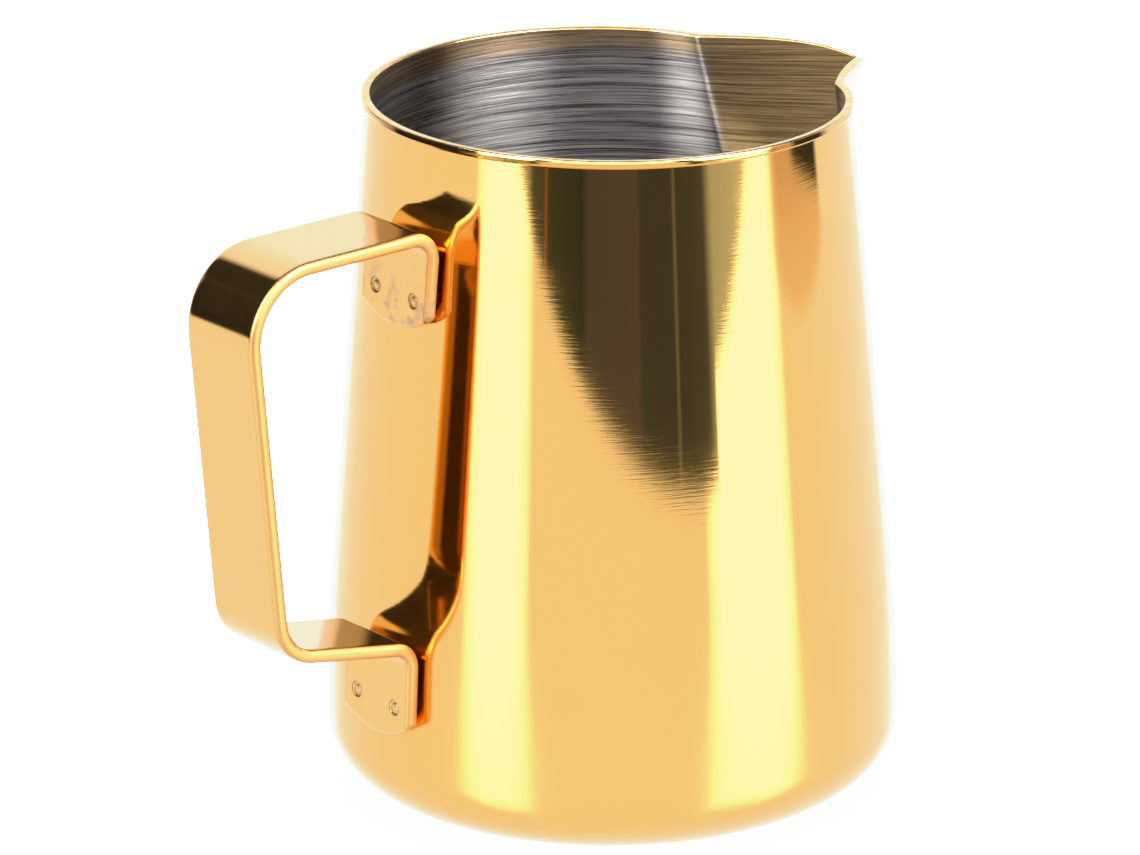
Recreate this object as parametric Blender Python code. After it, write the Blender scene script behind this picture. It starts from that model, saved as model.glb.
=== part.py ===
"""Milk frothing pitcher: a drawn steel cup with a pressed spout, and a strap handle held by four spot welds.

The pitcher stands on z = 0 with its axis on Z. The spout points along +X and the handle along -X.
"""

from math import asin, atan2, cos, exp, pi, radians, sin, tan

import bmesh
import bpy
from mathutils import Matrix, Vector

# Cup: a cone above, a wide arc below it, and an elliptical bottom corner. Radii are of the outer face.
RIM_HEIGHT = 0.1100
WALL_TAPER = radians(4.6)
BELLY_RADIUS = 0.0441
BELLY_HEIGHT = 0.0109
BELLY_ARC = 0.335
CORNER_REACH = 0.0144
SHEET = 0.0009
LIP_HEIGHT = 0.0013
LIP_FLARE = 0.0005
LIP_ROWS = ((1.0, 0.0), (0.7, 0.55), (0.35, 0.95), (0.0, 1.0))
CORNER_STEPS = 5
ARC_STEPS = 4
WALL_ROWS = 9
COLUMNS = 96
COLUMN_CROWDING = 0.6

# Spout: seen from above, two flanks run from a notch on each side to the tip.
TIP_RADIUS = 0.0508
NOTCH_RADIUS = 0.0360
NOTCH_ANGLE = radians(28.2)
PINCH_SPREAD = radians(11)
SPOUT_DEPTH = 0.045
SPOUT_FADE = 1.6
SPOUT_NARROWING = 0.45
FLANK_BELLY = (0.00044, -0.00029)
NOTCH_DROP = 0.0001
TIP_DROP = 0.0036
TIP_DROP_POWER = 2.8
RIM_FALL = 0.020

# Handle: the strap's middle line, as (distance from the axis, height).
STRAP_WIDTH = 0.0163
STRAP_THICKNESS = 0.0021
STRAP_EDGE = 0.0008
STRAP_EDGE_STEPS = 2
SHARP_FROM = radians(45)
WALL_GAP = 0.0003
UPPER_TAB_END = 0.0812
UPPER_ARM_AT_WALL = 0.0969
UPPER_CORNER = (0.0744, 0.0965)
LOWER_CORNER = (0.0690, 0.0365)
LOWER_ARM_AT_WALL = 0.0323
LOWER_TAB_END = 0.0171
UPPER_CORNER_BEND = 0.0107
LOWER_CORNER_BEND = 0.0070
TAB_BEND = 0.0035
TAB_END_RADIUS = 0.0132
BEND_STEP = radians(15)
STRAP_STRIPS = 8
SMOOTH_BELOW = radians(35)
TOUCH = 1e-6

# Spot welds: two in each tab.
WELD_SPACING = 0.0092
UPPER_WELDS = 0.0866
LOWER_WELDS = 0.0228
WELD_HOLE = 0.0014
WELD_RADIUS = 0.0011
WELD_SIDES = 16
WELD_SINK = 0.0002
WELD_DOME = 0.00025
WELD_PROFILE = ((0.0, 0.0), (0.5, 0.25), (0.9, 1.0), (1.0, 1.8))
CUTTER_LENGTH = 0.0084

# Base colour and roughness of each material.
CUP_FINISH = ((0.86, 0.62, 0.30), 0.12)
STRAP_FINISH = ((0.84, 0.60, 0.30), 0.22)
WELD_FINISH = ((0.62, 0.50, 0.33), 0.35)


def clear_scene():
    for old in list(bpy.data.objects):
        bpy.data.objects.remove(old, do_unlink=True)


def metal(name, colour, roughness):
    material = bpy.data.materials.new(name)
    material.use_nodes = True
    shader = material.node_tree.nodes["Principled BSDF"]
    shader.inputs["Base Color"].default_value = (*colour, 1.0)
    shader.inputs["Metallic"].default_value = 1.0
    shader.inputs["Roughness"].default_value = roughness
    return material


def add_object(name, bm, material):
    mesh = bpy.data.meshes.new(name)
    bm.to_mesh(mesh)
    bm.free()
    mesh.shade_smooth()
    mesh.set_sharp_from_angle(angle=SMOOTH_BELOW)
    mesh.materials.append(material)
    piece = bpy.data.objects.new(name, mesh)
    bpy.context.scene.collection.objects.link(piece)
    return piece


def taper_start():
    """Height at which the wide arc turns into the straight cone."""
    return BELLY_HEIGHT + BELLY_ARC * sin(WALL_TAPER)


def wall_radius(height):
    """Radius of the cup's outer face, above its bottom corner."""
    start = taper_start()
    if height < start:
        return BELLY_RADIUS - BELLY_ARC * (1 - cos(asin((height - BELLY_HEIGHT) / BELLY_ARC)))
    return BELLY_RADIUS - BELLY_ARC * (1 - cos(WALL_TAPER)) - (height - start) * tan(WALL_TAPER)


def cup_profile():
    """(radius, height) down the cup's outer face, from the lip to the middle of the base."""
    lip_foot = RIM_HEIGHT - LIP_HEIGHT
    points = []
    for drop, flare in reversed(LIP_ROWS):
        height = RIM_HEIGHT - drop * LIP_HEIGHT
        points.append((wall_radius(height) + flare * LIP_FLARE, height))
    spout_foot = RIM_HEIGHT - SPOUT_DEPTH
    for row in range(1, WALL_ROWS + 1):
        height = lip_foot + (spout_foot - lip_foot) * row / WALL_ROWS
        points.append((wall_radius(height), height))
    for step in range(1, ARC_STEPS + 1):
        height = spout_foot + (BELLY_HEIGHT - spout_foot) * step / ARC_STEPS
        points.append((wall_radius(height), height))
    for step in range(1, CORNER_STEPS + 1):
        turn = pi / 2 * step / CORNER_STEPS
        radius = BELLY_RADIUS - CORNER_REACH * (1 - cos(turn))
        points.append((radius, BELLY_HEIGHT * (1 - sin(turn))))
    points.append((0.0, 0.0))
    return points


def flank_line():
    """Distance from the axis and direction of the straight line from the notch to the tip, seen from above."""
    notch = Vector((NOTCH_RADIUS * cos(NOTCH_ANGLE), NOTCH_RADIUS * sin(NOTCH_ANGLE)))
    along = Vector((TIP_RADIUS, 0.0)) - notch
    across = Vector((-along.y, along.x)).normalized()
    return abs(across.dot(notch)), atan2(across.y, across.x)


def rim_push(angle):
    """(outward push, drop) of the rim at an angle from the spout, against the round rim."""
    rim = wall_radius(RIM_HEIGHT)
    if angle >= NOTCH_ANGLE:
        fade = exp((NOTCH_ANGLE - angle) / PINCH_SPREAD)
        return (NOTCH_RADIUS - rim) * fade, NOTCH_DROP * fade
    distance, direction = flank_line()
    straight = distance / cos(angle - direction)
    along = 1 - straight * sin(angle) / (NOTCH_RADIUS * sin(NOTCH_ANGLE))
    belly = FLANK_BELLY[0] * sin(pi * along) + FLANK_BELLY[1] * sin(2 * pi * along)
    radius = (distance + belly) / cos(angle - direction)
    return radius - rim, NOTCH_DROP + TIP_DROP * max(along, 0.0) ** TIP_DROP_POWER


def press_spout(bm):
    """Pushes the round cup's wall into the spout, and lets the rim fall a little towards it."""
    for vertex in bm.verts:
        height = vertex.co.z
        share = 1 - (RIM_HEIGHT - height) / SPOUT_DEPTH
        radius = vertex.co.xy.length
        if share <= 0 or radius < NOTCH_RADIUS / 2:
            continue
        angle = atan2(vertex.co.y, vertex.co.x)
        narrowing = 1 - SPOUT_NARROWING * (1 - share)
        push, drop = rim_push(abs(angle) / narrowing)
        radius += push * share**SPOUT_FADE
        vertex.co.x = radius * cos(angle)
        vertex.co.y = radius * sin(angle)
        vertex.co.z -= share * (drop + RIM_FALL * vertex.co.x)


def crowd_columns(bm):
    """Turns the columns of points towards the spout, where the shape is finest."""
    for vertex in bm.verts:
        angle = atan2(vertex.co.y, vertex.co.x)
        turn = -COLUMN_CROWDING * sin(angle)
        vertex.co = Matrix.Rotation(turn, 3, "Z") @ vertex.co


def make_cup(material):
    bm = bmesh.new()
    points = [bm.verts.new((radius, 0.0, height)) for radius, height in cup_profile()]
    edges = [bm.edges.new(pair) for pair in zip(points, points[1:])]
    bmesh.ops.spin(
        bm, geom=points + edges, cent=(0, 0, 0), axis=(0, 0, 1), angle=2 * pi, steps=COLUMNS
    )
    bmesh.ops.remove_doubles(bm, verts=bm.verts[:], dist=TOUCH)
    bmesh.ops.recalc_face_normals(bm, faces=bm.faces[:])
    lowest = min(bm.faces, key=lambda face: face.calc_center_median().z)
    if lowest.normal.z > 0:
        bmesh.ops.reverse_faces(bm, faces=bm.faces[:])
    crowd_columns(bm)
    press_spout(bm)
    cup = add_object("pitcher_body", bm, material)
    wall = cup.modifiers.new("sheet", "SOLIDIFY")
    wall.thickness = SHEET
    wall.offset = -1
    wall.use_even_offset = True
    return cup


def tab_line(end, arm):
    """The straight middle line of a tab, from its end to the height where its arm leaves the wall."""
    off_wall = WALL_GAP + STRAP_THICKNESS / 2
    return (wall_radius(end) + off_wall, end), (wall_radius(arm) + off_wall, arm)


def bend(before, corner, after, radius):
    """Points of an arc that rounds a corner of the strap's middle line."""
    before, corner, after = Vector(before), Vector(corner), Vector(after)
    arriving = (corner - before).normalized()
    leaving = (after - corner).normalized()
    turn = arriving.angle_signed(leaving)
    start = corner - arriving * radius * abs(tan(turn / 2))
    side = Vector((arriving.y, -arriving.x)) * radius * (1 if turn > 0 else -1)
    centre = start + side
    steps = max(2, round(abs(turn) / BEND_STEP))
    return [
        centre + Matrix.Rotation(-turn * step / steps, 2) @ (start - centre) for step in range(steps + 1)
    ]


def strap_path():
    """(distance from the axis, height) along the strap's middle line, from one tab's end to the other's."""
    upper_end, upper_arm = tab_line(UPPER_TAB_END, UPPER_ARM_AT_WALL)
    lower_end, lower_arm = tab_line(LOWER_TAB_END, LOWER_ARM_AT_WALL)
    return [
        Vector(upper_end),
        *bend(upper_end, upper_arm, UPPER_CORNER, TAB_BEND),
        *bend(upper_arm, UPPER_CORNER, LOWER_CORNER, UPPER_CORNER_BEND),
        *bend(UPPER_CORNER, LOWER_CORNER, lower_arm, LOWER_CORNER_BEND),
        *bend(LOWER_CORNER, lower_arm, lower_end, TAB_BEND),
        Vector(lower_end),
    ]


def round_tab_end(row):
    """Lifts the points of a tab's last row onto an arc whose lowest point is in its middle."""
    for vertex in row:
        vertex.co.z += TAB_END_RADIUS * (1 - cos(asin(vertex.co.y / TAB_END_RADIUS)))


def make_weld_cutter(name, centre, direction):
    bm = bmesh.new()
    bmesh.ops.create_cone(
        bm,
        cap_ends=True,
        segments=WELD_SIDES,
        radius1=WELD_HOLE,
        radius2=WELD_HOLE,
        depth=CUTTER_LENGTH,
        matrix=placed(centre, direction),
    )
    mesh = bpy.data.meshes.new(name)
    bm.to_mesh(mesh)
    bm.free()
    cutter = bpy.data.objects.new(name, mesh)
    cutter.hide_render = True
    cutter.display_type = "WIRE"
    bpy.context.scene.collection.objects.link(cutter)
    return cutter


def placed(centre, direction):
    """A matrix that turns +Z along a direction and moves the origin to a centre."""
    return Matrix.Translation(centre) @ direction.to_track_quat("Z", "Y").to_matrix().to_4x4()


def weld_places():
    """(name, middle of the strap there, direction out of the cup) of each spot weld."""
    places = []
    for level, height, ends in (
        ("upper", UPPER_WELDS, (UPPER_TAB_END, UPPER_ARM_AT_WALL)),
        ("lower", LOWER_WELDS, (LOWER_TAB_END, LOWER_ARM_AT_WALL)),
    ):
        low, high = tab_line(*ends)
        share = (height - low[1]) / (high[1] - low[1])
        reach = low[0] + (high[0] - low[0]) * share
        outward = Vector((low[1] - high[1], 0.0, low[0] - high[0])).normalized()
        outward = outward if outward.x < 0 else -outward
        for side, offset in (("far", WELD_SPACING / 2), ("near", -WELD_SPACING / 2)):
            places.append((f"weld_{level}_{side}", Vector((-reach, offset, height)), outward))
    return places


def make_strap(material):
    bm = bmesh.new()
    path = strap_path()
    half = STRAP_WIDTH / 2
    first = [bm.verts.new((-reach, -half, height)) for reach, height in path]
    edges = [bm.edges.new(pair) for pair in zip(first, first[1:])]
    for _ in range(STRAP_STRIPS):
        made = bmesh.ops.extrude_edge_only(bm, edges=edges)["geom"]
        moved = [item for item in made if isinstance(item, bmesh.types.BMVert)]
        bmesh.ops.translate(bm, verts=moved, vec=(0, STRAP_WIDTH / STRAP_STRIPS, 0))
        edges = [item for item in made if isinstance(item, bmesh.types.BMEdge)]
        edges = [edge for edge in edges if abs(edge.verts[0].co.y - edge.verts[1].co.y) < TOUCH]
    for end in (path[0], path[-1]):
        place = Vector((-end.x, end.y))
        round_tab_end([vertex for vertex in bm.verts if (vertex.co.xz - place).length < TOUCH])
    bmesh.ops.recalc_face_normals(bm, faces=bm.faces[:])
    strap = add_object("handle_strap", bm, material)
    plate = strap.modifiers.new("plate", "SOLIDIFY")
    plate.thickness = STRAP_THICKNESS
    plate.offset = 0
    plate.use_even_offset = True
    edge = strap.modifiers.new("rounded_edges", "BEVEL")
    edge.width = STRAP_EDGE
    edge.segments = STRAP_EDGE_STEPS
    edge.limit_method = "ANGLE"
    edge.angle_limit = SHARP_FROM
    for name, centre, outward in weld_places():
        hole = strap.modifiers.new(f"hole_{name}", "BOOLEAN")
        hole.operation = "DIFFERENCE"
        hole.solver = "EXACT"
        hole.object = make_weld_cutter(f"cutter_{name}", centre, outward)
    return strap


def make_weld(name, centre, outward, material):
    """A nugget that fills its hole from the wall to just under the strap's face, with a domed top."""
    half = STRAP_THICKNESS / 2
    top = half - WELD_SINK
    bm = bmesh.new()
    profile = [(WELD_RADIUS * share, top - WELD_DOME * fall) for share, fall in WELD_PROFILE]
    profile += [(WELD_RADIUS, -half), (0.0, -half)]
    points = [bm.verts.new((radius, 0.0, height)) for radius, height in profile]
    edges = [bm.edges.new(pair) for pair in zip(points, points[1:])]
    bmesh.ops.spin(
        bm, geom=points + edges, cent=(0, 0, 0), axis=(0, 0, 1), angle=2 * pi, steps=WELD_SIDES
    )
    bmesh.ops.remove_doubles(bm, verts=bm.verts[:], dist=TOUCH)
    bmesh.ops.recalc_face_normals(bm, faces=bm.faces[:])
    bmesh.ops.transform(bm, matrix=placed(centre, outward), verts=bm.verts[:])
    return add_object(name, bm, material)


def main():
    clear_scene()
    make_cup(metal("polished_gold_steel", *CUP_FINISH))
    make_strap(metal("satin_gold_strap", *STRAP_FINISH))
    for name, centre, outward in weld_places():
        make_weld(name, centre, outward, metal(f"{name}_steel", *WELD_FINISH))


main()
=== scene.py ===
"""A steel milk frothing pitcher: gold coated and polished outside, brushed inside, with a strap handle."""

from math import asin, atan2, cos, exp, pi, radians, sin, tan

import bpy
from mathutils import Matrix, Vector


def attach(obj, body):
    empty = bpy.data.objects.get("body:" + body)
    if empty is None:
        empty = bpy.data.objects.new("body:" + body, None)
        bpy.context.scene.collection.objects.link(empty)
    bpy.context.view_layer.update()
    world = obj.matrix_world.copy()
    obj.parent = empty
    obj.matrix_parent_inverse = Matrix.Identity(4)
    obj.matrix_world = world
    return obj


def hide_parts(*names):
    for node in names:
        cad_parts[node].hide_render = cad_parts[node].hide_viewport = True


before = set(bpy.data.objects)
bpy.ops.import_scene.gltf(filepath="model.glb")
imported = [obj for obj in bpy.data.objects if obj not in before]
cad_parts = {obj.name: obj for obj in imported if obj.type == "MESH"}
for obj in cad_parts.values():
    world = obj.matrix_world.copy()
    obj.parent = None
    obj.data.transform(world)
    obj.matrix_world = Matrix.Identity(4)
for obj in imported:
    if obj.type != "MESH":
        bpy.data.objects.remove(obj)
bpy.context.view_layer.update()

# Cup: a cone above, a wide arc below it, and an elliptical bottom corner. Radii are of the outer face.
RIM_HEIGHT = 0.1100
WALL_TAPER = radians(4.6)
BELLY_RADIUS = 0.0441
BELLY_HEIGHT = 0.0109
BELLY_ARC = 0.335
CORNER_REACH = 0.0144
SHEET = 0.0009
LIP_FOOT = 0.00130
LIP_FOOT_FLARE = 0.00050
LIP_TOP_FLARE = 0.00036
LIP_FILLET = 0.00016
RIM_ROUNDING = 0.00022
COLUMNS = 400
COLUMN_CROWDING = 0.55
SPOUT_ROWS = 56
BELLY_ROWS = 22
CORNER_ROWS = 18
BASE_RINGS = (0.9, 0.6, 0.3, 0.0)
INSIDE_SLOT = 1
RIM_SLOT = 2
RIM_ROUNDING_STEPS = 3

# The little step under the lip: (height above its foot in fillets, share of the foot's flare).
LIP_STEP = ((2.6, 1.0), (1.8, 0.86), (0.8, 0.35), (0.2, 0.08))
LIP_MIDDLE = 0.35

# Spout: seen from above, two flanks run from a notch on each side to the tip.
TIP_RADIUS = 0.0508
NOTCH_RADIUS = 0.0360
NOTCH_ANGLE = radians(28.2)
PINCH_SPREAD = radians(11)
SPOUT_DEPTH = 0.045
SPOUT_FADE = 1.6
SPOUT_NARROWING = 0.45
FLANK_BELLY = (0.00044, -0.00029)
NOTCH_DROP = 0.0001
TIP_DROP = 0.0036
TIP_DROP_POWER = 2.8
RIM_FALL = 0.020

# Handle: the strap's middle line, as (distance from the axis, height).
STRAP_WIDTH = 0.0163
STRAP_THICKNESS = 0.0021
STRAP_EDGE = 0.0008
STRAP_EDGE_STEPS = 5
STRAP_STRIPS = 12
WALL_GAP = 0.0003
UPPER_TAB_END = 0.0812
UPPER_ARM_AT_WALL = 0.0969
UPPER_CORNER = (0.0744, 0.0965)
LOWER_CORNER = (0.0690, 0.0365)
LOWER_ARM_AT_WALL = 0.0323
LOWER_TAB_END = 0.0171
UPPER_CORNER_BEND = 0.0107
LOWER_CORNER_BEND = 0.0070
TAB_BEND = 0.0035
TAB_END_RADIUS = 0.0132
BEND_STEP = radians(4)

# Spot welds: a dimple in the strap's face with a small raised middle.
WELD_SPACING = 0.0092
UPPER_WELDS = 0.0866
LOWER_WELDS = 0.0228
NEAR_WELD_DROP = 0.0004
WELD_HOLE = 0.00128
WELD_SIDES = 48
DIMPLE_DEPTH = 0.00022
NUB_RADIUS = 0.0007
NUB_HEIGHT = 0.00019
NUB_STEPS = 6
HOLE_CLEARANCE = 0.00002

TOUCH = 1e-6
SMOOTH_BELOW = radians(35)


# ---------------------------------------------------------------- modelling by hand


def begin_line(name, point):
    """Starts a piece as a single point, which extruding then draws into a line."""
    bpy.ops.object.select_all(action="DESELECT")
    bpy.ops.mesh.primitive_plane_add(size=SHEET, location=point)
    piece = bpy.context.object
    piece.name = piece.data.name = name
    bpy.ops.object.transform_apply(location=True, rotation=True, scale=True)
    bpy.ops.object.mode_set(mode="EDIT")
    bpy.ops.mesh.select_mode(type="VERT")
    bpy.ops.mesh.select_all(action="SELECT")
    bpy.ops.mesh.merge(type="CENTER")
    return piece


def draw_line(points):
    """Extrudes the selected point along a line of points."""
    for before, after in zip(points, points[1:]):
        bpy.ops.mesh.extrude_vertices_move(TRANSFORM_OT_translate={"value": after - before})


def spin_round(name, profile, sides):
    """A closed turn of a profile of (radius, height) points round Z, left in edit mode."""
    line = [Vector((radius, 0.0, height)) for radius, height in profile]
    piece = begin_line(name, line[0])
    draw_line(line)
    bpy.ops.mesh.select_all(action="SELECT")
    bpy.ops.mesh.spin(steps=sides, angle=2 * pi, center=(0, 0, 0), axis=(0, 0, 1))
    bpy.ops.mesh.select_all(action="SELECT")
    bpy.ops.mesh.remove_doubles(threshold=TOUCH)
    bpy.ops.mesh.normals_make_consistent(inside=False)
    return piece


def leave_edit():
    bpy.ops.object.mode_set(mode="OBJECT")


def pick(piece, mode, wanted):
    """Selects only the points, edges or faces of a piece that pass a test, and stays in edit mode."""
    bpy.ops.object.mode_set(mode="EDIT")
    bpy.ops.mesh.select_mode(type=mode)
    bpy.ops.mesh.select_all(action="DESELECT")
    bpy.ops.object.mode_set(mode="OBJECT")
    mesh = piece.data
    items = {"VERT": mesh.vertices, "EDGE": mesh.edges, "FACE": mesh.polygons}[mode]
    for item in items:
        item.select = wanted(item)
    bpy.ops.object.mode_set(mode="EDIT")


def apply_modifier(piece, kind, **settings):
    modifier = piece.modifiers.new(kind.lower(), kind)
    for name, value in settings.items():
        setattr(modifier, name, value)
    bpy.ops.object.select_all(action="DESELECT")
    piece.select_set(True)
    bpy.context.view_layer.objects.active = piece
    bpy.ops.object.modifier_apply(modifier=modifier.name)


def smooth(piece):
    bpy.ops.object.select_all(action="DESELECT")
    piece.select_set(True)
    bpy.context.view_layer.objects.active = piece
    bpy.ops.object.shade_smooth_by_angle(angle=SMOOTH_BELOW)


# ---------------------------------------------------------------- cup


def taper_start():
    """Height at which the wide arc turns into the straight cone."""
    return BELLY_HEIGHT + BELLY_ARC * sin(WALL_TAPER)


def wall_radius(height):
    """Radius of the cup's outer face, above its bottom corner."""
    start = taper_start()
    if height < start:
        return BELLY_RADIUS - BELLY_ARC * (1 - cos(asin((height - BELLY_HEIGHT) / BELLY_ARC)))
    return BELLY_RADIUS - BELLY_ARC * (1 - cos(WALL_TAPER)) - (height - start) * tan(WALL_TAPER)


def lip_rows():
    """(height, flare out of the wall) down the turned-out lip: a leaning band over a sharp little step."""
    foot = RIM_HEIGHT - LIP_FOOT
    return [
        (RIM_HEIGHT, LIP_TOP_FLARE),
        (RIM_HEIGHT - LIP_FOOT * LIP_MIDDLE, LIP_TOP_FLARE + (LIP_FOOT_FLARE - LIP_TOP_FLARE) * 0.5),
        *((foot + rise_by * LIP_FILLET, LIP_FOOT_FLARE * share) for rise_by, share in LIP_STEP),
    ]


def cup_profile():
    """(radius, height) down the cup's outer face, from the lip to the middle of the base."""
    points = [(wall_radius(height), height) for height, _ in lip_rows()]
    top = RIM_HEIGHT - LIP_FOOT
    spout_foot = RIM_HEIGHT - SPOUT_DEPTH
    for row in range(SPOUT_ROWS + 1):
        height = top + (spout_foot - top) * row / SPOUT_ROWS
        points.append((wall_radius(height), height))
    for row in range(1, BELLY_ROWS + 1):
        height = spout_foot + (BELLY_HEIGHT - spout_foot) * row / BELLY_ROWS
        points.append((wall_radius(height), height))
    for row in range(1, CORNER_ROWS + 1):
        turn = pi / 2 * row / CORNER_ROWS
        radius = BELLY_RADIUS - CORNER_REACH * (1 - cos(turn))
        points.append((radius, BELLY_HEIGHT * (1 - sin(turn))))
    for share in BASE_RINGS:
        points.append(((BELLY_RADIUS - CORNER_REACH) * share, 0.0))
    return points


def flank_line():
    """Distance from the axis and direction of the straight line from the notch to the tip, from above."""
    notch = Vector((NOTCH_RADIUS * cos(NOTCH_ANGLE), NOTCH_RADIUS * sin(NOTCH_ANGLE)))
    along = Vector((TIP_RADIUS, 0.0)) - notch
    across = Vector((-along.y, along.x)).normalized()
    return abs(across.dot(notch)), atan2(across.y, across.x)


def rim_push(angle):
    """(outward push, drop) of the rim at an angle from the spout, against the round rim."""
    rim = wall_radius(RIM_HEIGHT)
    if angle >= NOTCH_ANGLE:
        fade = exp((NOTCH_ANGLE - angle) / PINCH_SPREAD)
        return (NOTCH_RADIUS - rim) * fade, NOTCH_DROP * fade
    distance, direction = flank_line()
    straight = distance / cos(angle - direction)
    along = 1 - straight * sin(angle) / (NOTCH_RADIUS * sin(NOTCH_ANGLE))
    belly = FLANK_BELLY[0] * sin(pi * along) + FLANK_BELLY[1] * sin(2 * pi * along)
    radius = (distance + belly) / cos(angle - direction)
    return radius - rim, NOTCH_DROP + TIP_DROP * max(along, 0.0) ** TIP_DROP_POWER


def press_spout(piece):
    """Turns the columns of points towards the spout, then pushes the round wall out into it.

    Gives how far each point of the lip is to be turned out.
    """
    flares = {}
    for vertex in piece.data.vertices:
        angle = atan2(vertex.co.y, vertex.co.x)
        angle -= COLUMN_CROWDING * sin(angle)
        radius = vertex.co.xy.length
        height = vertex.co.z
        for row, flare in lip_rows():
            if abs(height - row) < TOUCH:
                flares[vertex.index] = flare
        share = 1 - (RIM_HEIGHT - height) / SPOUT_DEPTH
        drop = 0.0
        if share > 0 and radius > NOTCH_RADIUS / 2:
            narrowing = 1 - SPOUT_NARROWING * (1 - share)
            push, drop = rim_push(abs(angle) / narrowing)
            radius += push * share**SPOUT_FADE
            drop = share * (drop + RIM_FALL * radius * cos(angle))
        vertex.co = (radius * cos(angle), radius * sin(angle), height - drop)
    return flares


def edges_round(piece, on_rim):
    """The edges of a cup's faces, either of those on its rim or of all the others."""
    edges = set()
    for face in piece.data.polygons:
        if (face.material_index == RIM_SLOT) == on_rim:
            edges.update(face.edge_keys)
    return edges


def make_cup(outside, inside, edge):
    cup = spin_round("frothing_cup", cup_profile(), COLUMNS)
    leave_edit()
    lowest = min(cup.data.polygons, key=lambda face: face.center.z)
    if lowest.normal.z > 0:
        cup.data.flip_normals()
    flares = press_spout(cup)
    cup.data.update()
    turned = {index: Vector(cup.data.vertices[index].normal) for index in flares}
    for finish in (outside, inside, edge):
        cup.data.materials.append(finish)
    apply_modifier(
        cup,
        "SOLIDIFY",
        thickness=SHEET,
        offset=-1,
        use_even_offset=True,
        material_offset=INSIDE_SLOT,
        material_offset_rim=RIM_SLOT,
    )
    for index, flare in flares.items():
        level = Vector((turned[index].x, turned[index].y, 0.0)).normalized()
        cup.data.vertices[index].co += level * flare
    corners = edges_round(cup, True) & edges_round(cup, False)
    pick(cup, "EDGE", lambda edge: edge.key in corners)
    bpy.ops.mesh.bevel(offset=RIM_ROUNDING, segments=RIM_ROUNDING_STEPS, profile=0.5, material=RIM_SLOT)
    leave_edit()
    smooth(cup)
    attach(cup, "root")
    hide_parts("pitcher_body")
    return cup


# ---------------------------------------------------------------- handle


def tab_line(end, arm):
    """The straight middle line of a tab, from its end to the height where its arm leaves the wall."""
    off_wall = WALL_GAP + STRAP_THICKNESS / 2
    return (wall_radius(end) + off_wall, end), (wall_radius(arm) + off_wall, arm)


def bend(before, corner, after, radius):
    """Points of an arc that rounds a corner of the strap's middle line."""
    before, corner, after = Vector(before), Vector(corner), Vector(after)
    arriving = (corner - before).normalized()
    leaving = (after - corner).normalized()
    turn = arriving.angle_signed(leaving)
    start = corner - arriving * radius * abs(tan(turn / 2))
    side = Vector((arriving.y, -arriving.x)) * radius * (1 if turn > 0 else -1)
    centre = start + side
    steps = max(2, round(abs(turn) / BEND_STEP))
    return [
        centre + Matrix.Rotation(-turn * step / steps, 2) @ (start - centre) for step in range(steps + 1)
    ]


def strap_path():
    """(distance from the axis, height) along the strap's middle line, from one tab's end to the other's."""
    upper_end, upper_arm = tab_line(UPPER_TAB_END, UPPER_ARM_AT_WALL)
    lower_end, lower_arm = tab_line(LOWER_TAB_END, LOWER_ARM_AT_WALL)
    return [
        Vector(upper_end),
        *bend(upper_end, upper_arm, UPPER_CORNER, TAB_BEND),
        *bend(upper_arm, UPPER_CORNER, LOWER_CORNER, UPPER_CORNER_BEND),
        *bend(UPPER_CORNER, LOWER_CORNER, lower_arm, LOWER_CORNER_BEND),
        *bend(LOWER_CORNER, lower_arm, lower_end, TAB_BEND),
        Vector(lower_end),
    ]


def weld_places():
    """(name, node, middle of the strap there, direction out of the cup) of each spot weld."""
    places = []
    for level, height, ends in (
        ("upper", UPPER_WELDS, (UPPER_TAB_END, UPPER_ARM_AT_WALL)),
        ("lower", LOWER_WELDS, (LOWER_TAB_END, LOWER_ARM_AT_WALL)),
    ):
        for side, offset, drop in (
            ("far", WELD_SPACING / 2, 0.0),
            ("near", -WELD_SPACING / 2, NEAR_WELD_DROP),
        ):
            low, high = tab_line(*ends)
            share = (height - drop - low[1]) / (high[1] - low[1])
            reach = low[0] + (high[0] - low[0]) * share
            outward = Vector((low[1] - high[1], 0.0, low[0] - high[0])).normalized()
            outward = outward if outward.x < 0 else -outward
            middle = Vector((-reach, offset, height - drop))
            places.append((f"{level}_{side}_weld", f"weld_{level}_{side}", middle, outward))
    return places


def set_down(piece, middle, outward):
    """Turns a piece made round the origin so that its top faces outward, and carries it to its place."""
    piece.rotation_euler = outward.to_track_quat("Z", "Y").to_euler()
    piece.location = middle
    bpy.ops.object.select_all(action="DESELECT")
    piece.select_set(True)
    bpy.context.view_layer.objects.active = piece
    bpy.ops.object.transform_apply(location=True, rotation=True, scale=True)


def drill(piece, middle, outward):
    """Cuts a weld's round hole through the strap."""
    bpy.ops.object.select_all(action="DESELECT")
    bpy.ops.mesh.primitive_cylinder_add(
        vertices=WELD_SIDES, radius=WELD_HOLE, depth=4 * STRAP_THICKNESS, location=(0, 0, 0)
    )
    cutter = bpy.context.object
    set_down(cutter, middle, outward)
    apply_modifier(piece, "BOOLEAN", operation="DIFFERENCE", solver="EXACT", object=cutter)
    bpy.data.objects.remove(cutter, do_unlink=True)


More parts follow.
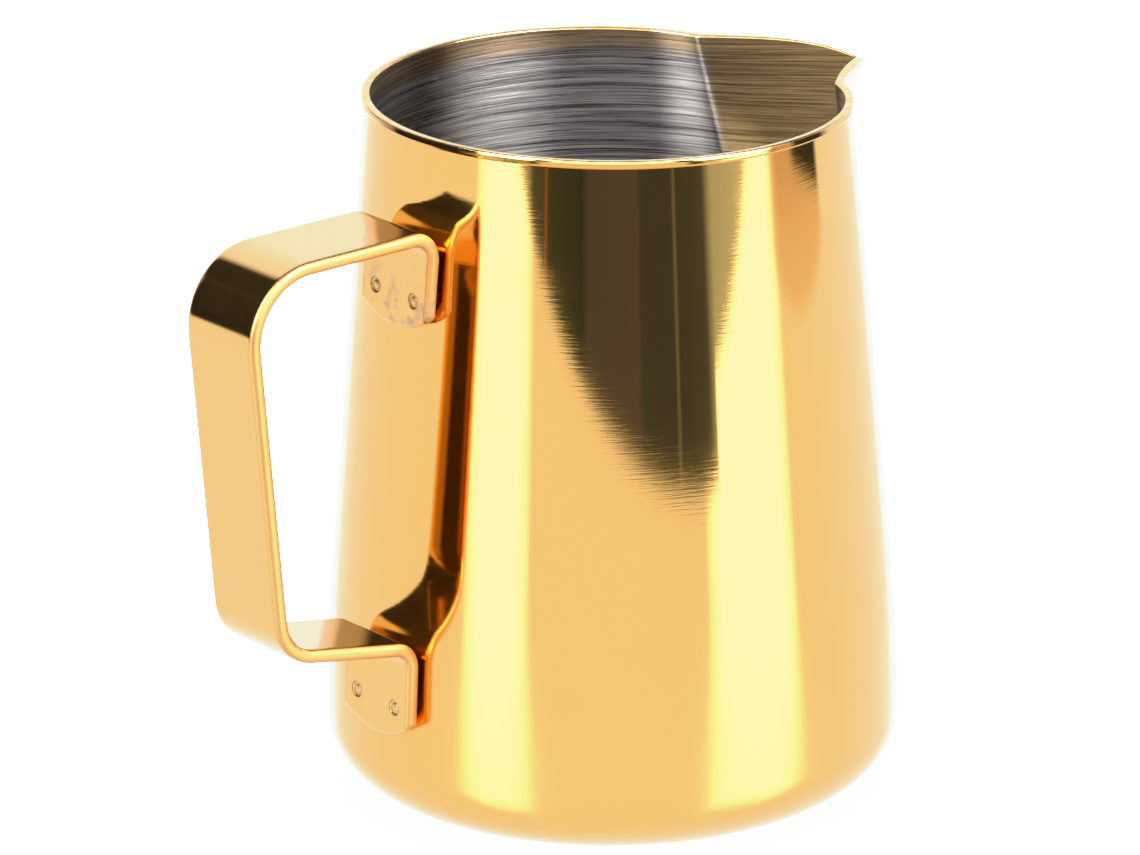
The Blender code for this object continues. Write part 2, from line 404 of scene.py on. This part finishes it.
def make_strap(finish):
    path = strap_path()
    half = STRAP_WIDTH / 2
    line = [Vector((-reach, -half, height)) for reach, height in path]
    strap = begin_line("handle", line[0])
    draw_line(line)
    bpy.ops.mesh.select_all(action="SELECT")
    strip = (0, STRAP_WIDTH / STRAP_STRIPS, 0)
    for _ in range(STRAP_STRIPS):
        bpy.ops.mesh.extrude_region_move(TRANSFORM_OT_translate={"value": strip})
    bpy.ops.mesh.select_all(action="SELECT")
    bpy.ops.mesh.normals_make_consistent(inside=False)
    leave_edit()
    for end in (path[0], path[-1]):
        place = Vector((-end.x, end.y))
        for vertex in strap.data.vertices:
            if (vertex.co.xz - place).length < TOUCH:
                vertex.co.z += TAB_END_RADIUS * (1 - cos(asin(vertex.co.y / TAB_END_RADIUS)))
    apply_modifier(strap, "SOLIDIFY", thickness=STRAP_THICKNESS, offset=0, use_even_offset=True)
    apply_modifier(
        strap,
        "BEVEL",
        width=STRAP_EDGE,
        segments=STRAP_EDGE_STEPS,
        limit_method="ANGLE",
        angle_limit=radians(45),
    )
    for _, _, middle, outward in weld_places():
        drill(strap, middle, outward)
    strap.data.materials.append(finish)
    smooth(strap)
    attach(strap, "root")
    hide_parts("handle_strap")
    return strap


def weld_profile():
    """(radius, height) of a nugget from its middle: a nub, a dimple round it, and the side of its hole."""
    face = STRAP_THICKNESS / 2
    floor = face - DIMPLE_DEPTH
    points = []
    for step in range(NUB_STEPS + 1):
        turn = pi / 2 * step / NUB_STEPS
        points.append((NUB_RADIUS * sin(turn), floor + NUB_HEIGHT * (0.35 + 0.65 * cos(turn))))
    points.append((NUB_RADIUS * 1.04, floor + NUB_HEIGHT * 0.08))
    points.append((NUB_RADIUS * 1.2, floor))
    points.append((WELD_HOLE * 0.86, floor + DIMPLE_DEPTH * 0.05))
    points.append((WELD_HOLE * 0.95, floor + DIMPLE_DEPTH * 0.35))
    points.append((WELD_HOLE - HOLE_CLEARANCE, floor + DIMPLE_DEPTH * 0.9))
    points.append((WELD_HOLE - HOLE_CLEARANCE, -face))
    points.append((0.0, -face))
    return points


def make_weld(name, node, middle, outward, finish):
    weld = spin_round(name, weld_profile(), WELD_SIDES)
    leave_edit()
    set_down(weld, middle, outward)
    weld.data.materials.append(finish)
    smooth(weld)
    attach(weld, "root")
    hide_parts(node)
    return weld


# ---------------------------------------------------------------- finishes


class Field:
    """A value that varies over a surface. Arithmetic on numbers adds Math nodes."""

    def __init__(self, tree, socket):
        self.tree = tree
        self.socket = socket

    def maths(self, operation, *values):
        return add_node(self.tree, "ShaderNodeMath", {"operation": operation}, dict(enumerate(values)))

    def __add__(self, other):
        return self.maths("ADD", self, other)

    __radd__ = __add__

    def __mul__(self, other):
        return self.maths("MULTIPLY", self, other)

    __rmul__ = __mul__

    def __sub__(self, other):
        return self.maths("SUBTRACT", self, other)

    def __rsub__(self, other):
        return self.maths("SUBTRACT", other, self)

    def __truediv__(self, other):
        return self.maths("DIVIDE", self, other)

    def __pow__(self, other):
        return self.maths("POWER", self, other)

    def __abs__(self):
        return self.maths("ABSOLUTE", self)


def add_node(tree, kind, settings=None, inputs=None, output=0):
    """Adds a node with its settings and its sockets' values or links, and gives one of its outputs."""
    made = tree.nodes.new(kind)
    for name, value in (settings or {}).items():
        if name == "stops":
            ramp = made.color_ramp
            while len(ramp.elements) < len(value):
                ramp.elements.new(0.5)
            for element, (place, _) in zip(ramp.elements, value):
                element.position = place
            for element, (_, colour) in zip(ramp.elements, value):
                element.color = (*colour, 1.0)
        else:
            setattr(made, name, value)
    for name, value in (inputs or {}).items():
        if isinstance(value, Field):
            tree.links.new(value.socket, made.inputs[name])
        elif isinstance(value, tuple) and len(value) == 3 and made.inputs[name].type == "RGBA":
            made.inputs[name].default_value = (*value, 1.0)
        else:
            made.inputs[name].default_value = value
    return Field(tree, made.outputs[output])


def larger(first, second):
    return first.maths("MAXIMUM", first, second)


def mixed(share, first, second):
    """A colour between two, by a share from 0 to 1."""
    settings = {"data_type": "RGBA"}
    return add_node(share.tree, "ShaderNodeMix", settings, {0: share, 6: first, 7: second}, output=2)


def rise(value, low, high):
    """0 below low and 1 above high, with a smooth step between; high may be the lower of the two."""
    if high < low:
        return 1 - rise(value, high, low)
    settings = {"interpolation_type": "SMOOTHSTEP"}
    return add_node(value.tree, "ShaderNodeMapRange", settings, {0: value, 1: low, 2: high})


def between(value, low, high, softness):
    """1 between two values and 0 outside them, with soft ends."""
    return rise(value, low - softness, low + softness) * rise(value, high + softness, high - softness)


def place_on(tree):
    """The object coordinates, as one vector."""
    return add_node(tree, "ShaderNodeTexCoord", output="Object")


def split(vector):
    """The x, y and z of a vector."""
    splitter = vector.tree.nodes.new("ShaderNodeSeparateXYZ")
    vector.tree.links.new(vector.socket, splitter.inputs[0])
    return [Field(vector.tree, output) for output in splitter.outputs]


def grain(tree, whole, scale, detail=2.0, roughness=0.5, seed=(0.0, 0.0, 0.0)):
    """Noise from 0 to 1 whose scale differs along x, y and z, in features per metre."""
    mapping = {"Vector": whole, "Location": seed, "Scale": scale}
    stretched = add_node(tree, "ShaderNodeMapping", None, mapping)
    inputs = {"Vector": stretched, "Scale": 1.0, "Detail": detail, "Roughness": roughness}
    return add_node(tree, "ShaderNodeTexNoise", None, inputs)


def start_finish(name):
    material = bpy.data.materials.new(name)
    material.use_nodes = True
    material.node_tree.nodes.clear()
    return material, material.node_tree


def send_out(shader, kind="ShaderNodeOutputMaterial"):
    """Links a shader to the output of its material, or of the world."""
    target = shader.tree.nodes.new(kind)
    shader.tree.links.new(shader.socket, target.inputs["Surface"])


def end_finish(tree, **sockets):
    """Ends a finish with one shader; a socket's name has _ for its spaces."""
    inputs = {name.replace("_", " "): value for name, value in sockets.items()}
    send_out(add_node(tree, "ShaderNodeBsdfPrincipled", None, inputs))


def relief(tree, height, depth):
    """A bumped normal from a height field, whose full range is a depth in metres."""
    return add_node(tree, "ShaderNodeBump", None, {"Strength": 1.0, "Distance": depth, "Height": height})


GOLD = (0.955, 0.565, 0.165)
DEEP_GOLD = (0.90, 0.50, 0.13)
CUT_EDGE = (0.94, 0.74, 0.44)
DARK_STEEL = (0.05, 0.046, 0.044)
BRIGHT_STEEL = (0.44, 0.41, 0.395)
DARK_TINT = (0.08, 0.045, 0.010)
BRIGHT_TINT = (0.38, 0.225, 0.06)
STRAP_EDGE_GOLD = (0.72, 0.41, 0.14)
WORN_EDGE = (0.92, 0.70, 0.40)
TARNISH = (0.42, 0.33, 0.25)
# Painted highlight on a weld's nub, painted shade in the ring round it, and how much of that shade is used.
NUB_HIGHLIGHT_GOLD = (0.93, 0.66, 0.30)
RING_SHADE_GOLD = (0.50, 0.32, 0.13)
PITTED_GOLD = (0.72, 0.50, 0.24)
COAT_GLOSS = 0.04
LEVEL_BRUSHING = 0.25
RING_SHADE_SHARE = 0.5

# Inside: the flank of the spout, across the cup and down it, and the heights where the coating fades out.
FLANK_SLOPE = 0.535
FLANK_NARROWING = 5.35
COATING_END = (0.1055, 0.1085)


def polished_gold():
    """The outside: a mirror polish with fine level lines, faint blotches, and a few short scratches."""
    material, tree = start_finish("polished_gold")
    whole = place_on(tree)
    _, _, z = split(whole)
    fine = grain(tree, whole, (260, 260, 5200), 3.0, 0.6)
    long = grain(tree, whole, (60, 60, 2600), 2.0, 0.5, (3.0, 1.0, 7.0))
    blotch = grain(tree, whole, (70, 70, 70), 3.0, 0.55, (1.0, 5.0, 2.0))
    stain = rise(blotch, 0.60, 0.78)
    colour = mixed(stain * 0.5, GOLD, DEEP_GOLD)
    low = rise(z, 0.050, 0.012)
    gloss = 0.045 + 0.05 * fine * long + 0.03 * stain + 0.15 * low
    end_finish(
        tree,
        Base_Color=colour,
        Metallic=1.0,
        Roughness=gloss,
        Coat_Weight=0.35,
        Coat_Roughness=COAT_GLOSS,
        Normal=relief(tree, fine + 1.4 * long, 1.7e-6),
    )
    return material


def brushed_steel():
    """The inside: bare steel with level brush lines, tinted gold where the coating reached over the rim."""
    material, tree = start_finish("brushed_steel")
    whole = place_on(tree)
    x, y, z = split(whole)
    fine = grain(tree, whole, (50, 50, 7000), 3.0, 0.7)
    strong = grain(tree, whole, (25, 25, 2800), 4.0, 0.75, (2.0, 4.0, 1.0))
    bands = grain(tree, whole, (14, 14, 420), 2.0, 0.5, (8.0, 2.0, 5.0))
    lines = rise(0.4 * fine + 0.6 * strong, 0.36, 0.64)
    over_rim = rise(z + 0.0015 * strong, *COATING_END)
    flank = x * (FLANK_SLOPE - FLANK_NARROWING * (RIM_HEIGHT - z)) - abs(y) + 0.002 * strong
    in_spout = rise(flank, 0.0, 0.0030) * rise(z, 0.060, 0.075)
    coating = larger(over_rim * 0.65, in_spout * 0.8)
    bare = mixed(lines, DARK_STEEL, BRIGHT_STEEL)
    tinted = mixed(lines, DARK_TINT, BRIGHT_TINT)
    colour = mixed(coating, bare, tinted)
    gloss = 0.33 + 0.05 * lines + 0.04 * bands
    end_finish(
        tree,
        Base_Color=colour,
        Metallic=1.0,
        Roughness=gloss,
        Anisotropic=1.0,
        Anisotropic_Rotation=LEVEL_BRUSHING,
        Normal=relief(tree, lines + 0.8 * bands, 2.2e-5),
    )
    return material


def cut_edge():
    """The ground top of the rim: bright, with the coating worn thin."""
    material, tree = start_finish("ground_rim")
    wear = grain(tree, place_on(tree), (500, 500, 500), 3.0, 0.6)
    colour = mixed(rise(wear, 0.35, 0.7), GOLD, CUT_EDGE)
    end_finish(tree, Base_Color=colour, Metallic=1.0, Roughness=0.16 + 0.14 * wear)
    return material


def strap_gold():
    """The strap: polished faces, satin rounded edges, and grey tarnish on the upper tab from its welding."""
    material, tree = start_finish("strap_gold")
    whole = place_on(tree)
    x, y, z = split(whole)
    half = STRAP_WIDTH / 2
    edge = rise(abs(y), half - 0.0011, half - 0.0003)
    pits = grain(tree, whole, (5200, 5200, 5200), 2.0, 0.6)
    cloud = grain(tree, whole, (260, 260, 260), 4.0, 0.6, (2.0, 2.0, 9.0))
    brushing = grain(tree, whole, (900, 5200, 900), 2.0, 0.5)
    on_tab = rise(x, -0.0470, -0.0440) * rise(z, 0.070, 0.078)
    low_on_tab = on_tab * rise(z, 0.0925, 0.0855)
    tarnish = low_on_tab * rise(cloud, 0.47, 0.66)
    wear = edge * rise(pits, 0.52, 0.75)
    clean = mixed(edge * 0.85, GOLD, STRAP_EDGE_GOLD)
    tarnished = mixed(tarnish * 0.6, clean, TARNISH)
    colour = mixed(wear * 0.35, tarnished, WORN_EDGE)
    gloss = 0.06 + 0.37 * edge + 0.22 * tarnish + 0.08 * on_tab + 0.05 * cloud
    surface = edge * pits * 8.0 + tarnish * pits * 3.0 + 0.5 * brushing
    end_finish(
        tree,
        Base_Color=colour,
        Metallic=1.0,
        Roughness=gloss,
        Coat_Weight=0.8 - 0.8 * edge,
        Coat_Roughness=COAT_GLOSS,
        Normal=relief(tree, surface, 1.2e-6),
    )
    return material


def weld_gold(name, middle):
    """A weld nugget: a pressed dimple, with painted shade darkening its ring and a painted highlight making
    its nub paler.
    """
    material, tree = start_finish(name)
    whole = place_on(tree)
    pits = grain(tree, whole, (4200, 4200, 4200), 3.0, 0.6)
    inputs = {0: whole, 1: tuple(middle)}
    off = add_node(tree, "ShaderNodeVectorMath", {"operation": "DISTANCE"}, inputs, output="Value")
    # Painted shade in the dimple's ring and a painted highlight on the nub: pale gold on the nub, darker
    # gold in the ring.
    ring = rise(off, NUB_RADIUS * 1.2, NUB_RADIUS * 1.9)
    shaded_weld = mixed(ring * RING_SHADE_SHARE, NUB_HIGHLIGHT_GOLD, RING_SHADE_GOLD)
    end_finish(
        tree,
        Base_Color=mixed(pits * 0.25, shaded_weld, PITTED_GOLD),
        Metallic=1.0,
        Roughness=0.2 + 0.22 * pits,
        Normal=relief(tree, pits, 2.5e-5),
    )
    return material


# ---------------------------------------------------------------- studio

CAMERA_PLACE = Vector((-0.88849, -1.10897, 0.53811))
CAMERA_TARGET = Vector((-0.0047, 0.0042, 0.0560))
CAMERA_ROLL = radians(-0.48)
LENS = 308.0
SENSOR = 36.0

FLOOR_SIZE = 8.0
FLOOR_GREY = (0.35, 0.35, 0.35)
FLOOR_GLOW = 0.65
PLAIN_WHITE = (1.0, 1.0, 1.0)

# Cards: flat upright shapes of (distance along, height) points, hung round the cup at an azimuth.
CARD_DISTANCE = 0.300
CARD_SIDE = 0.900
CARD_TOP = 0.170
CARD_STEP = 0.290
DARK_CARD_AZIMUTH = atan2(CAMERA_PLACE.y, CAMERA_PLACE.x)
DARK_CARD_OUTLINE = (
    (-CARD_SIDE, 0.136),
    (CARD_STEP, -0.011),
    (CARD_STEP, 0.010),
    (CARD_SIDE, -0.010),
    (CARD_SIDE, CARD_TOP),
    (-CARD_SIDE, CARD_TOP),
)
SIDE_CARD_AZIMUTH = radians(-28.0)
SIDE_CARD_OUTLINE = ((-0.20, 0.0), (0.06, 0.0), (0.06, 0.25), (-0.20, 0.25))

# Upright stripes of the dark card, over a span along it, and its lit part.
STRIPES_SPAN = (-0.4, 0.6)
STRIPES = (
    (0.000, (0.42, 0.42, 0.40)),
    (0.185, (0.34, 0.37, 0.33)),
    (0.205, (0.07, 0.08, 0.07)),
    (0.243, (0.07, 0.08, 0.07)),
    (0.247, (0.42, 0.16, 0.05)),
    (0.251, (0.05, 0.06, 0.05)),
    (0.340, (0.035, 0.045, 0.05)),
    (0.352, (0.075, 0.075, 0.10)),
    (0.462, (0.085, 0.08, 0.11)),
    (0.470, (0.05, 0.06, 0.07)),
    (0.553, (0.05, 0.06, 0.07)),
    (0.557, (0.26, 0.28, 0.26)),
    (0.561, (0.05, 0.06, 0.06)),
    (0.660, (0.07, 0.08, 0.09)),
    (0.700, (0.45, 0.52, 0.55)),
    (1.000, (0.60, 0.68, 0.70)),
)
LIT_PART = (0.85, 0.85, 0.85)
TAN_LOW = (0.85, 0.74, 0.62)
TAN_HIGH = (0.66, 0.50, 0.40)
UNLIT = (0.035, 0.04, 0.04)

# The room round the cup, as (azimuth, half width, softness) in degrees, and its levels.
LEFT_LIGHT = (183.0, 11.0, 4.5)
RIGHT_LIGHT = (-68.5, 17.5, 4.5)
FLOOR_GLARE = (51.0, 18.0, 12.0)
COOL_SIDE = (30.0, 55.0, 25.0)
LOW_BACKDROP = (38.0, 50.0, 6.0)
SIDE_BACKDROP = (102.0, 12.0, 6.0)
HIGH_BACKDROP = (68.0, 20.0, 6.0)
FRONT_LIGHT = (-127.0, 28.0, 4.0)
ROOM_LEVEL = 0.02
SIDE_BACKDROP_LEVEL = 0.45
FRONT_LEVEL = 2.6
LIGHT_LEVEL = 0.9
LIGHT_PEAK = 12.0
LIT_FLOOR_LEVEL = 1.6
GLARE_LEVEL = 1.4
COOL_WHITE = (0.98, 1.04, 1.16)

# Brightest level of the scene, and the levels shown for some of those below it.
WHITE = 3.2
TONES = ((0.0, 0.0), (0.3, 0.3), (0.6, 0.59), (0.93, 0.895), (1.5, 0.935), (2.4, 0.985), (WHITE, 1.0))


def add_camera():
    bpy.ops.object.camera_add(location=CAMERA_PLACE)
    camera = bpy.context.object
    camera.name = "camera"
    aim = (CAMERA_TARGET - CAMERA_PLACE).to_track_quat("-Z", "Y")
    camera.rotation_euler = (aim.to_matrix() @ Matrix.Rotation(CAMERA_ROLL, 3, "Z")).to_euler()
    camera.data.lens = LENS
    camera.data.sensor_width = SENSOR
    camera.data.sensor_fit = "HORIZONTAL"
    camera.data.clip_start = 0.05
    camera.data.clip_end = 50.0
    bpy.context.scene.camera = camera


def towards(x, y, azimuth):
    """Cosine of the level angle between a direction and an azimuth in degrees."""
    turn = radians(azimuth)
    level = (x * x + y * y) ** 0.5
    return (x * cos(turn) + y * sin(turn)) / (level + 1e-5)


def sector(x, y, azimuth, half_width, softness):
    """1 in a sector of directions and 0 outside it, in degrees."""
    outer = cos(radians(min(half_width + softness, 179.0)))
    inner = cos(radians(max(half_width - softness, 0.5)))
    return rise(towards(x, y, azimuth), outer, inner)


def set_world():
    """Plain white for the camera and the floor, and tall soft lights with dark gaps for the reflections."""
    world = bpy.data.worlds.new("studio")
    bpy.context.scene.world = world
    world.use_nodes = True
    tree = world.node_tree
    tree.nodes.clear()
    x, y, z = split(add_node(tree, "ShaderNodeTexCoord", output="Generated"))
    lights = larger(sector(x, y, *LEFT_LIGHT), sector(x, y, *RIGHT_LIGHT))
    below = rise(z, -0.06, -0.12)
    lit_below = lights * rise(z, -0.90, -0.22)
    glare = sector(x, y, *FLOOR_GLARE) * rise(z, -0.50, -0.35)
    low_backdrop = sector(x, y, *LOW_BACKDROP) + SIDE_BACKDROP_LEVEL * sector(x, y, *SIDE_BACKDROP)
    high_backdrop = sector(x, y, *HIGH_BACKDROP) * rise(z, 0.80, 0.68)
    backdrop = larger(low_backdrop * rise(z, 0.52, 0.40), high_backdrop)
    front = sector(x, y, *FRONT_LIGHT) * rise(z, 0.90, 0.80)
    tall = rise(z, 0.95, 0.85) * rise(z, 0.02, 0.30)
    above = ROOM_LEVEL + backdrop + FRONT_LEVEL * front + lights * (LIGHT_LEVEL + LIGHT_PEAK * tall)
    floor = 1.0 + LIT_FLOOR_LEVEL * lit_below + GLARE_LEVEL * glare
    level = below * floor + (1 - below) * above
    colour = mixed(sector(x, y, *COOL_SIDE), PLAIN_WHITE, COOL_WHITE)
    seen = add_node(tree, "ShaderNodeBackground", None, {"Color": PLAIN_WHITE, "Strength": WHITE})
    mirrored = add_node(tree, "ShaderNodeBackground", None, {"Color": colour, "Strength": level})
    glossy = add_node(tree, "ShaderNodeLightPath", output="Is Glossy Ray")
    both = add_node(tree, "ShaderNodeMixShader", None, {0: glossy, 1: seen, 2: mirrored})
    send_out(both, "ShaderNodeOutputWorld")


def hang_card(name, azimuth, outline, material):
    """Hangs a flat upright card at an azimuth, where only the reflections show it."""
    outward = Vector((cos(azimuth), sin(azimuth), 0.0))
    side = Vector((-sin(azimuth), cos(azimuth), 0.0))
    line = [outward * CARD_DISTANCE + side * across + Vector((0, 0, up)) for across, up in outline]
    card = begin_line(name, line[0])
    draw_line(line)
    bpy.ops.mesh.select_all(action="SELECT")
    bpy.ops.mesh.edge_face_add()
    leave_edit()
    card.data.materials.append(material)
    card.visible_camera = False
    card.visible_diffuse = False
    card.visible_shadow = False


def place_along(tree, azimuth):
    """How far along a card at an azimuth a point of it is, and how high."""
    x, y, z = split(place_on(tree))
    return x * -sin(azimuth) + y * cos(azimuth), z


def glow(colour):
    return add_node(colour.tree, "ShaderNodeEmission", None, {"Color": colour, "Strength": 1.0})


def dark_card():
    """The unlit side of the room behind the camera, with upright stripes."""
    material, tree = start_finish("dark_card")
    across, z = place_along(tree, DARK_CARD_AZIMUTH)
    low, high = STRIPES_SPAN
    span = add_node(tree, "ShaderNodeMapRange", None, {0: across, 1: low, 2: high})
    stripes = add_node(tree, "ShaderNodeValToRGB", {"stops": STRIPES}, {0: span})
    lit = rise(z, 0.085, 0.16) * between(across, -0.175, 0.21, 0.02)
    send_out(glow(mixed(lit, stripes, LIT_PART)))
    hang_card("dark_card", DARK_CARD_AZIMUTH, DARK_CARD_OUTLINE, material)


def side_card():
    """A smaller unlit thing to the right: tan below, black above, with soft edges."""
    material, tree = start_finish("side_card")
    across, z = place_along(tree, SIDE_CARD_AZIMUTH)
    low = 0.024 + 1.1 * (across + 0.060) * (across + 0.060)
    shape = rise(across, -0.165, -0.115) * rise(across, 0.032, 0.014) * rise(z - low, -0.002, 0.005)
    black = rise(z + 0.12 * across, 0.0435, 0.0465) * rise(across, -0.085, -0.055)
    tan_part = mixed(rise(z, 0.030, 0.060), TAN_LOW, TAN_HIGH)
    clear = add_node(tree, "ShaderNodeBsdfTransparent")
    solid = glow(mixed(black, tan_part, UNLIT))
    send_out(add_node(tree, "ShaderNodeMixShader", None, {0: shape, 1: clear, 2: solid}))
    hang_card("side_card", SIDE_CARD_AZIMUTH, SIDE_CARD_OUTLINE, material)


def add_floor():
    bpy.ops.object.select_all(action="DESELECT")
    bpy.ops.mesh.primitive_plane_add(size=FLOOR_SIZE, location=(0, 0, 0))
    floor = bpy.context.object
    floor.name = "floor"
    material, tree = start_finish("pale_floor")
    end_finish(
        tree,
        Base_Color=FLOOR_GREY,
        Roughness=0.9,
        Emission_Color=PLAIN_WHITE,
        Emission_Strength=FLOOR_GLOW * WHITE,
    )
    floor.data.materials.append(material)
    floor.visible_glossy = False


def set_tones():
    """Plain colours with a soft shoulder, so that bright gold pales instead of clipping."""
    view = bpy.context.scene.view_settings
    view.view_transform = "Standard"
    view.use_curve_mapping = True
    tones = view.curve_mapping
    tones.white_level = (WHITE, WHITE, WHITE)
    curve = tones.curves[3]
    for level, shown in TONES[1:-1]:
        curve.points.new(level / WHITE, shown)
    tones.update()


def build():
    add_camera()
    set_world()
    set_tones()
    add_floor()
    dark_card()
    side_card()
    make_cup(polished_gold(), brushed_steel(), cut_edge())
    make_strap(strap_gold())
    for name, node_name, middle, outward in weld_places():
        make_weld(name, node_name, middle, outward, weld_gold(name, middle))


build()
